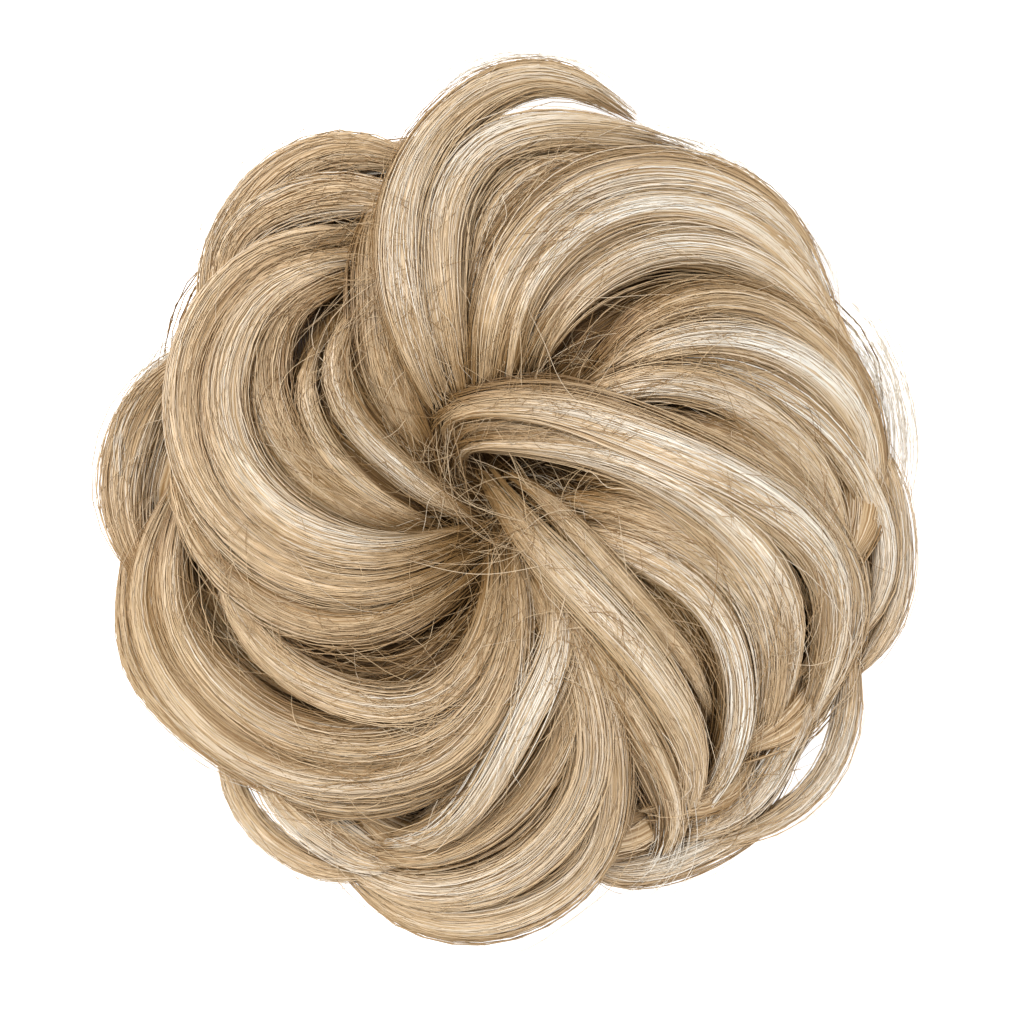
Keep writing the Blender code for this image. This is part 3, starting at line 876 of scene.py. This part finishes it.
def strand_object(name, bundles, width):
    """One object from bundles of lines, each an array of points with tones and thicknesses."""
    points = np.concatenate([bundle[0].reshape(-1, 3) for bundle in bundles])
    points[:, 2] = np.maximum(points[:, 2], width)
    tones = np.concatenate([bundle[1].ravel() for bundle in bundles])
    shares = np.concatenate([bundle[2].ravel() for bundle in bundles])
    edges, first = [], 0
    for lines, _, _ in bundles:
        count, steps = lines.shape[:2]
        start = first + np.arange(count)[:, None] * steps + np.arange(steps - 1)
        edges.append(np.stack([start.ravel(), start.ravel() + 1], axis=1))
        first += count * steps
    edges = np.concatenate(edges)

    drawn = bpy.data.meshes.new(name)
    drawn.vertices.add(len(points))
    drawn.vertices.foreach_set("co", points.ravel())
    drawn.edges.add(len(edges))
    drawn.edges.foreach_set("vertices", edges.ravel())
    for attribute, values in (("tone", tones), ("thickness", shares)):
        drawn.attributes.new(attribute, "FLOAT", "POINT").data.foreach_set("value", values)
    obj = linked(name, drawn)

    modifier = obj.modifiers.new("strands", "NODES")
    modifier.node_group = bpy.data.node_groups.get("hair_strands") or strand_tree()
    material = bpy.data.materials["hair_strand"]
    set_inputs(modifier, {"Strand width": width, "Sides": 3, "Material": material})
    graph = bpy.context.evaluated_depsgraph_get()
    made = bpy.data.meshes.new_from_object(obj.evaluated_get(graph))
    obj.modifiers.remove(modifier)
    obj.data = made
    bpy.data.meshes.remove(drawn)
    made.name = name
    return obj


def wave(draw, along, turns):
    """A slow random wave along each strand, between about -1 and 1."""
    total = 0
    for pace in turns:
        phase = draw(0, 2 * math.pi)
        total = total + np.sin(along * 2 * math.pi * pace * draw(0.7, 1.3) + phase)
    return total / len(turns)


def end_shade(along):
    """Painted shade: how much darker the hair is where it goes in at its root and its tip."""
    root = np.clip(1 - along / ROOT_SHADED, 0, 1) ** 1.3
    tip = np.clip((along - (1 - TIP_SHADED)) / TIP_SHADED, 0, 1)
    return ROOT_SHADE * root + TIP_SHADE * tip


def taper(along):
    """A strand's share of its full thickness, thin at the tip."""
    return np.clip((1 - along) / STRAND_TAPER + STRAND_TIP, 0, 1)


def strand_ways(course, rng, count, clumps, points, sector):
    """Strands in clumps round a lock: their lines, ways along and round it, clumps and depths."""
    low, high = sector
    draw = partial(rng.uniform, size=(count, 1))
    start = draw(0, START_SCATTER)
    end = 1 - END_SCATTER * draw(0, 1) ** 2
    steps = np.linspace(0, 1, points)
    along = start + (end - start) * steps

    clump = rng.integers(0, clumps, count)
    shift = rng.uniform(-0.3, 0.3, clumps)
    centre = low + (high - low) * (np.arange(clumps) + 0.5 + shift) / clumps
    own = rng.normal(0, CLUMP_SPREAD * (high - low) / clumps, (count, 1))
    gather = 0.5 + 0.7 * np.sin(math.pi * np.clip(along * 1.05, 0, 1))
    sway = rng.uniform(0, 2 * math.pi, clumps)[clump][:, None]
    drift = 0.06 * np.sin(along * 4.0 + sway) + 0.035 * wave(draw, along, (0.7, 1.6))
    angle = math.pi * (centre[clump][:, None] + own * gather + drift)

    depth = draw(0, 1) ** 1.5
    reach = 1.0 - DEPTH_SHARE * depth + 0.012 * wave(draw, along, (1.5,))
    reach = reach + rng.normal(0, CLUMP_RELIEF, clumps)[clump][:, None]
    loose = (draw(0, 1) < LOOSE_SHARE) * draw(*LOOSE_REACH)
    lines = course.skin(along, angle, reach + loose * np.sin(math.pi * along) ** 2)

    feather = (draw(0, 1) < FEATHER_SHARE) * draw(*FEATHER_REACH)
    feather = feather * np.sin(math.pi * steps) * np.cos(angle)
    beside = feather * course.read(course.half_width, along)
    lines = lines + beside[..., None] * course.read(course.across, along)
    return lines, along, angle, clump, depth


def lock_strands(
    course, rng, hair, light, sector, sparse=1.0, shade=UNDER_SHADE, shine_at=0.5, shaded=True
):
    """Strands laid round a lock between two angles, in clumps, with their tones, painted highlights
    and painted shade among them, and their thicknesses.
    """
    points = max(FEWEST, round(course.length / hair.strand_step) + 1)
    girth = math.pi * (course.half_width.max() + course.half_thick.max())
    girth = girth * (sector[1] - sector[0]) / 2 / MM
    count = max(FEWEST, round(girth * hair.strand_density * sparse))
    clumps = max(3, round(girth / CLUMP_WIDTH))
    ways = strand_ways(course, rng, count, clumps, points, sector)
    lines, along, angle, clump, depth = ways
    draw = partial(rng.uniform, size=(count, 1))

    clump_tone = rng.normal(0, CLUMP_TONE, clumps)[clump][:, None]
    # A painted highlight on each clump, somewhere along its middle.
    gleam_at = rng.uniform(0.3, 0.7, clumps)[clump][:, None]
    gleam = np.exp(-(((along - gleam_at) / GLEAM_LENGTH) ** 2))
    gleam = gleam * rng.uniform(0, 0.1 + 0.4 * max(light, 0), clumps)[clump][:, None]
    # A painted highlight on the lock's crest, where the light falls most on it.
    crest = math.pi / 2 + rng.uniform(-0.4, 0.4)
    beyond = ((along - shine_at) / SHINE_LENGTH) ** 2 + ((angle - crest) / SHINE_BREADTH) ** 2
    shine = (0.08 + SHINE_GAIN * max(light, 0)) * np.exp(-beyond)
    # The lock's light, partly its own lighter hair and partly painted light, and painted shade on
    # the deeper strands.
    tone = STRAND_TONE + STRAND_LIGHT * light + clump_tone + rng.normal(0, 0.035, (count, 1))
    tone = tone - DEPTH_SHADE * depth + shine
    # Painted shade round the heart, except on the locks that cross over it.
    if shaded:
        distance = np.linalg.norm(lines[..., :2] - HEART, axis=-1)
        tone = tone - HEART_SHADE * np.clip(1 - distance / HEART_SHADE_R, 0, 1)
    # Painted shade on the sides of the lock, which on the rim's locks is painted light instead.
    tone = tone + gleam + shade * (np.sin(angle) - 0.85)
    tone = tone + 0.05 * wave(draw, along, (1.0, 2.3))
    tone = tone + PALE_GAIN * (draw(0, 1) < PALE_SHARE) - DARK_LOSS * (draw(0, 1) < DARK_SHARE)
    thick = draw(*STRAND_THICK) * taper(along)
    return lines, np.clip(tone - end_shade(along), 0, 1), thick


def valley_strands(near, far, rng, light):
    """Strands in the valley between two locks, which drift from one towards the other, painted
    darker for the shade there.
    """
    count = VALLEY_COUNT
    draw = partial(rng.uniform, size=(count, 1))
    start = draw(0, 0.3)
    end = start + draw(0.4, 0.68)
    steps = np.linspace(0, 1, VALLEY_POINTS)
    along = np.minimum(start + (end - start) * steps, 0.97)
    share = draw(-0.1, 1.1) + rng.normal(0, 0.35, (count, 1)) * (steps - 0.5)
    share = np.clip(share + 0.04 * wave(draw, along, (1.5, 3.0)), -0.15, 1.15)
    up = draw(-1.0, 0.45) - 0.5 * (2 * steps - 1) ** 4
    centre = np.zeros_like(along)
    here, there = near.place(along, centre, up), far.place(along, centre, up)
    lines = here * (1 - share[..., None]) + there * share[..., None]
    # Painted shade: valley hair is darker, and darker the lower it lies.
    tone = VALLEY_SHADED_TONE + light + VALLEY_LOW_SHADE * up + rng.normal(0, 0.10, (count, 1))
    tone = tone + 0.04 * wave(draw, along, (1.0, 2.0))
    thick = draw(0.6, 1.0) * taper(steps)
    return lines, np.clip(tone - end_shade(along), 0, 1), thick


def stray_strands(course, rng, light):
    """Fine hairs that wander over a lock and its neighbours."""
    count = STRAY_COUNT
    draw = partial(rng.uniform, size=(count, 1))
    start = draw(-0.02, 0.8)
    end = np.minimum(start + draw(0.12, 0.42), 1)
    steps = np.linspace(0, 1, STRAY.points)
    along = start + (end - start) * steps
    side = draw(-1.8, 1.8) * (1 - steps) + draw(-1.8, 1.8) * steps
    side = side + 0.3 * wave(draw, steps, (0.7, 1.5))
    lift = draw(0, 1.2) ** 2
    up = 0.95 + lift * np.sin(math.pi * steps) + 0.1 * wave(draw, steps, (0.8, 1.7))
    lines = course.place(along, side, up - 0.25 * np.abs(side))
    tone = draw(*STRAY.tones) + light + 0 * along
    return lines, np.clip(tone, 0, 1), draw(*STRAY.widths) * taper(steps)


def ride(obj):
    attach(obj, "root")
    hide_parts("hair_locks")


def dress_locks(name, seed):
    """The bodies and the strands of one group of locks."""
    hair = bpy.context.scene.hairpiece_hair
    rng = np.random.default_rng(seed)
    rows = LOCK_GROUPS[name]
    rim = rows is RIM
    courses = [lock_course(row, 1.0 if rim else INNER_SPREAD) for row in rows]
    body = body_mesh(f"{name}_body", courses, [row.light for row in rows])
    bundles = []
    for row, course in zip(rows, courses):
        bundles.append(
            lock_strands(
                course,
                rng,
                hair,
                row.light,
                OVER_RIM if rim else OVER_TOP,
                shade=RIM_SHADE if rim else INNER_SHADE,
                shine_at=SHINE.get(row.name, 0.5),
                shaded=rows is not CROSSING,
            )
        )
        bundles.append(stray_strands(course, rng, row.light))
    strands = strand_object(f"{name}_strands", bundles, hair.strand_width)
    ride(body)
    ride(strands)


def hair_heights(tree, x, y):
    """How high the uppermost hair stands at each place, and where there is none, a little lower."""
    heights = []
    for place in zip(x.ravel(), y.ravel()):
        hit = tree.ray_cast(Vector((*place, RAY_TOP)), Vector((0, 0, -1)))[0]
        heights.append(hit.z if hit else 0.0)
    lowest = lie_height(np.hypot(x - HEART[0], y - HEART[1])) - DEEPEST
    return np.maximum(np.array(heights).reshape(x.shape), lowest)


def rest(ground, tension):
    """Heights of hairs that lie on the high places of the ground and hang between them."""
    height = ground.copy()
    for _ in range(REST_ROUNDS):
        height[:, 1:-1] = np.maximum(ground[:, 1:-1], (height[:, :-2] + height[:, 2:]) / 2)
    return ground + (height - ground) * tension


def laid_over(tree, draw, x, y, steps, hairs, lift):
    """Fine hairs along their ways seen from above, laid over the hair that is under them."""
    height = rest(hair_heights(tree, x, y), draw(0.5, 1))
    height = height + draw(0.1, lift) * MM
    tone = draw(*hairs.tones) + 0 * x
    return np.stack([x, y, height], axis=-1), tone, draw(*hairs.widths) * taper(steps)


def nearest_way(courses, x, y):
    """The way that the nearest lock runs, as an angle seen from above."""
    points = np.concatenate([course.line[:-1, :2] for course in courses])
    steps = np.concatenate([np.diff(course.line[:, :2], axis=0) for course in courses])
    nearest = np.argmin(np.hypot(points[:, 0] - x, points[:, 1] - y), axis=1)
    return np.arctan2(steps[nearest, 1], steps[nearest, 0])[:, None]


def frizz(patch, courses, tree, rng):
    """Fine hairs that cross from lock to lock, most of them nearly along their flow."""
    count = patch.count
    draw = partial(rng.uniform, size=(count, 1))
    radius = patch.radius * MM
    away = radius * np.sqrt(draw(0, 1))
    turn = draw(0, 2 * math.pi)
    middle_x = patch.x * MM + away * np.cos(turn)
    middle_y = patch.y * MM + away * np.sin(turn)
    length = radius * draw(0.9, 3.0)
    steps = np.linspace(-0.5, 0.5, FRIZZ.points)
    heading = nearest_way(courses, middle_x, middle_y) + rng.normal(0, 0.32, (count, 1))
    heading = heading + rng.normal(-0.5, 0.5, (count, 1)) * steps
    heading = heading + 0.08 * wave(draw, steps, (0.9,))
    x = middle_x + steps * length * np.cos(heading)
    y = middle_y + steps * length * np.sin(heading)
    return laid_over(tree, draw, x, y, steps + 0.5, FRIZZ, 0.6)


def heart_hairs(tree, rng):
    """Fine hairs that circle the heart and cross over its pit."""
    count = HEART_HAIRS
    draw = partial(rng.uniform, size=(count, 1))
    turn = draw(0, 2 * math.pi)
    swing = draw(0.2, 1.3) * np.where(draw(0, 1) < 0.8, -1, 1)
    near = draw(1, 10) * MM
    far = draw(10, 28) * MM
    steps = np.linspace(0, 1, OVER_HEART.points)
    angle = turn + swing * steps + 0.06 * wave(draw, steps, (1.0, 2.2))
    distance = near + (far - near) * steps + 0.6 * MM * wave(draw, steps, (1.4,))
    x = HEART[0] + distance * np.cos(angle)
    y = HEART[1] + distance * np.sin(angle)
    return laid_over(tree, draw, x, y, steps, OVER_HEART, 0.8)


def wisp_hairs(course, rng):
    """Fine pale hairs that stand off the rim, each beside the course in its own way."""
    count = WISP_COUNT
    draw = partial(rng.uniform, size=(count, 1))
    start = draw(0, 0.3)
    end = draw(0.65, 1.0)
    steps = np.linspace(0, 1, WISP.points)
    along = start + (end - start) * steps
    side = rng.normal(0, 0.7, (count, 1)) + 0.3 * wave(draw, steps, (0.6, 1.3))
    up = draw(-1, 1) + 0.3 * wave(draw, steps, (0.9,))
    tone = draw(*WISP.tones) + 0 * along
    return course.place(along, side, up), tone, draw(*WISP.widths) * taper(steps)


class HAIRPIECE_OT_materials(bpy.types.Operator):
    """Makes the finishes of the hair and gives the elastic its weave"""

    bl_idname = "hairpiece.materials"
    bl_label = "Hair and elastic finishes"

    def execute(self, context):
        hair = context.scene.hairpiece_hair
        strand_material(hair)
        body_material(hair)
        elastic_material()
        finishes = frame["nodes"]["elastic_band"].data.materials
        finishes.clear()
        finishes.append(bpy.data.materials["woven_elastic"])
        return {"FINISHED"}


class HAIRPIECE_OT_base(bpy.types.Operator):
    """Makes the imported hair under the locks, with the hollow for the wearer's bun"""

    bl_idname = "hairpiece.base"
    bl_label = "Packed hair"

    def execute(self, context):
        outside = curve_through(np.array(DOME, float) * MM, DOME_POINTS)
        profile = np.concatenate([outside, np.array(HOLLOW, float) * MM])
        profile[0, 0] = 0
        corners, faces, places = self.turned(profile)
        streaks = BASE_STREAKS / MM / BASE_R * BASE_SWIRL
        places = [(along, BASE_STREAKS * turn - streaks * along) for along, turn in places]
        # The base is painted darker towards the middle, for the shade under the locks.
        tones = []
        for x, y, _ in corners:
            outward = min(math.hypot(x, y) / (BASE_R * MM), 1)
            tones.append(BASE_SHADED_TONE + BASE_RIM_TONE * outward)
        ride(shaped("packed_hair_base", corners, faces, places, tones))
        return {"FINISHED"}

    def turned(self, profile):
        """The profile turned about the middle, with the way along it and round it as UV."""
        walked = walked_along(profile)
        corners, faces, places = [], [], []
        for k in range(BASE_STEPS):
            angle = -2 * math.pi * k / BASE_STEPS
            for distance, height in profile[1:-1]:
                corners.append((distance * math.cos(angle), distance * math.sin(angle), height))
        rows = len(profile) - 2
        top, bottom = len(corners), len(corners) + 1
        corners += [(0, 0, profile[0, 1]), (0, 0, profile[-1, 1])]
        for k in range(BASE_STEPS):
            here, there = k * rows, (k + 1) % BASE_STEPS * rows
            near, far = 2 * k / BASE_STEPS, 2 * (k + 1) / BASE_STEPS
            faces.append((top, there, here))
            places += [(0, near), (walked[1], far), (walked[1], near)]
            for i in range(rows - 1):
                faces.append((here + i, there + i, there + i + 1, here + i + 1))
                a, b = walked[i + 1], walked[i + 2]
                places += [(a, near), (a, far), (b, far), (b, near)]
            faces.append((bottom, here + rows - 1, there + rows - 1))
            places += [(walked[-1], near), (walked[-2], near), (walked[-2], far)]
        return corners, faces, places


class HAIRPIECE_OT_curls(bpy.types.Operator):
    """Makes the curls that turn under the rim to the band"""

    bl_idname = "hairpiece.curls"
    bl_label = "Under curls"

    def execute(self, context):
        hair = context.scene.hairpiece_hair
        rng = np.random.default_rng(CURL_SEED)
        courses = [curl_course(index) for index in range(CURL_COUNT)]
        body = body_mesh("under_curls_body", courses, [CURL_LIGHT] * CURL_COUNT)
        bundles = [
            lock_strands(course, rng, hair, CURL_LIGHT, ALL_ROUND, CURL_SPARSE)
            for course in courses
        ]
        width = hair.strand_width * CURL_STRAND_WIDTH
        strands = strand_object("under_curls_strands", bundles, width)
        ride(body)
        ride(strands)
        return {"FINISHED"}


class HAIRPIECE_OT_locks(bpy.types.Operator):
    """Makes the locks of the swirl, group by group"""

    bl_idname = "hairpiece.locks"
    bl_label = "Locks"

    def execute(self, context):
        for index, name in enumerate(LOCK_GROUPS):
            dress_locks(name, LOCK_SEED + index)
        return {"FINISHED"}


class HAIRPIECE_OT_loose_hair(bpy.types.Operator):
    """Fills the valleys between the locks, and adds the wisps and the hairs that cross"""

    bl_idname = "hairpiece.loose_hair"
    bl_label = "Loose hair"

    def execute(self, context):
        hair = context.scene.hairpiece_hair
        rng = np.random.default_rng(LOOSE_SEED)
        rows = {row.name: row for group in LOCK_GROUPS.values() for row in group}
        courses = {name: lock_course(row) for name, row in rows.items()}
        valleys = []
        for chain in VALLEYS:
            for near, far in zip(chain, chain[1:]):
                light = min(rows[near].light, rows[far].light)
                valleys.append(valley_strands(courses[near], courses[far], rng, light))
        wisps = [wisp_hairs(lock_course(row), rng) for row in WISPS]
        tree = self.outer_faces()
        crossing = [heart_hairs(tree, rng)]
        crossing += [frizz(patch, courses.values(), tree, rng) for patch in PATCHES]
        ride(strand_object("valley_hair", valleys, hair.strand_width))
        ride(strand_object("rim_wisps", wisps, hair.strand_width))
        ride(strand_object("crossing_hairs", crossing, hair.strand_width))
        return {"FINISHED"}

    def outer_faces(self):
        """The faces of the bodies and the base, to find the height of the hair in."""
        corners, faces = [], []
        for name in [f"{group}_body" for group in LOCK_GROUPS] + ["packed_hair_base"]:
            mesh = bpy.data.objects[name].data
            first = len(corners)
            corners += [vert.co.copy() for vert in mesh.vertices]
            faces += [[first + k for k in face.vertices] for face in mesh.polygons]
        return BVHTree.FromPolygons(corners, faces)


class HAIRPIECE_OT_stage(bpy.types.Operator):
    """Lays the pale floor, hangs the soft lights and sets the camera straight above"""

    bl_idname = "hairpiece.stage"
    bl_label = "Stage"

    def execute(self, context):
        stage = context.scene.hairpiece_stage
        self.lay_floor(stage)
        for lamp in LAMPS:
            self.hang_light(lamp)
        self.light_world()
        self.set_camera(context.scene, stage)
        context.scene.view_settings.view_transform = "Standard"
        return {"FINISHED"}

    def lay_floor(self, stage):
        mesh = bpy.data.meshes.new("floor")
        shape = bmesh.new()
        bmesh.ops.create_grid(shape, x_segments=2, y_segments=2, size=FLOOR_SIZE)
        bmesh.ops.translate(shape, verts=shape.verts, vec=(0, 0, -FLOOR_DROP))
        shape.to_mesh(mesh)
        shape.free()
        nodes = new_material("pale_floor")
        nodes.surface({
            "Base Color": (*stage.floor_colour, 1.0),
            "Roughness": 0.9,
            "Emission Color": WHITE,
            "Emission Strength": FLOOR_GLOW,
        })
        mesh.materials.append(bpy.data.materials["pale_floor"])
        linked("floor", mesh)

    def hang_light(self, row):
        lamp = bpy.data.lights.new(row.name, "AREA")
        lamp.shape = "DISK"
        lamp.size = row.size
        lamp.energy = row.watts
        obj = linked(row.name, lamp)
        obj.location = row.place
        obj.rotation_euler = (-Vector(row.place)).to_track_quat("-Z", "Y").to_euler()

    def light_world(self):
        world = bpy.data.worlds.new("studio")
        world.use_nodes = True
        nodes = Nodes(world.node_tree)
        light = nodes.add(
            "ShaderNodeBackground", inputs={"Color": WHITE, "Strength": WORLD_LIGHT}
        )
        nodes.add("ShaderNodeOutputWorld", inputs={"Surface": light.outputs[0]})
        bpy.context.scene.world = world

    def set_camera(self, scene, stage):
        lens = bpy.data.cameras.new("camera")
        lens.sensor_width = 36.0
        away = stage.camera_height - FRAMED_HEIGHT
        lens.lens = lens.sensor_width * away / stage.frame_width
        lens.clip_end = FARTHEST
        camera = linked("camera", lens)
        camera.location = (0, CAMERA_SHIFT, stage.camera_height)
        scene.camera = camera


class HAIRPIECE_PT_panel(bpy.types.Panel):
    """Lists the steps that dress the hairpiece"""

    bl_label = "Hairpiece"
    bl_idname = "HAIRPIECE_PT_panel"
    bl_space_type = "VIEW_3D"
    bl_region_type = "UI"
    bl_category = "Hairpiece"

    def draw(self, context):
        for settings in (context.scene.hairpiece_hair, context.scene.hairpiece_stage):
            for name in settings.__annotations__:
                self.layout.prop(settings, name)
        for step in STEPS:
            self.layout.operator(step.bl_idname)


STEPS = (
    HAIRPIECE_OT_materials,
    HAIRPIECE_OT_base,
    HAIRPIECE_OT_curls,
    HAIRPIECE_OT_locks,
    HAIRPIECE_OT_loose_hair,
    HAIRPIECE_OT_stage,
)
CLASSES = (HairSettings, StageSettings, *STEPS, HAIRPIECE_PT_panel)


def register():
    for made in CLASSES:
        bpy.utils.register_class(made)
    bpy.types.Scene.hairpiece_hair = bpy.props.PointerProperty(type=HairSettings)
    bpy.types.Scene.hairpiece_stage = bpy.props.PointerProperty(type=StageSettings)


def unregister():
    del bpy.types.Scene.hairpiece_stage
    del bpy.types.Scene.hairpiece_hair
    for made in reversed(CLASSES):
        bpy.utils.unregister_class(made)


def main():
    register()
    bpy.ops.hairpiece.materials()
    bpy.ops.hairpiece.base()
    bpy.ops.hairpiece.curls()
    bpy.ops.hairpiece.locks()
    bpy.ops.hairpiece.loose_hair()
    bpy.ops.hairpiece.stage()


if __name__ == "__main__":
    main()
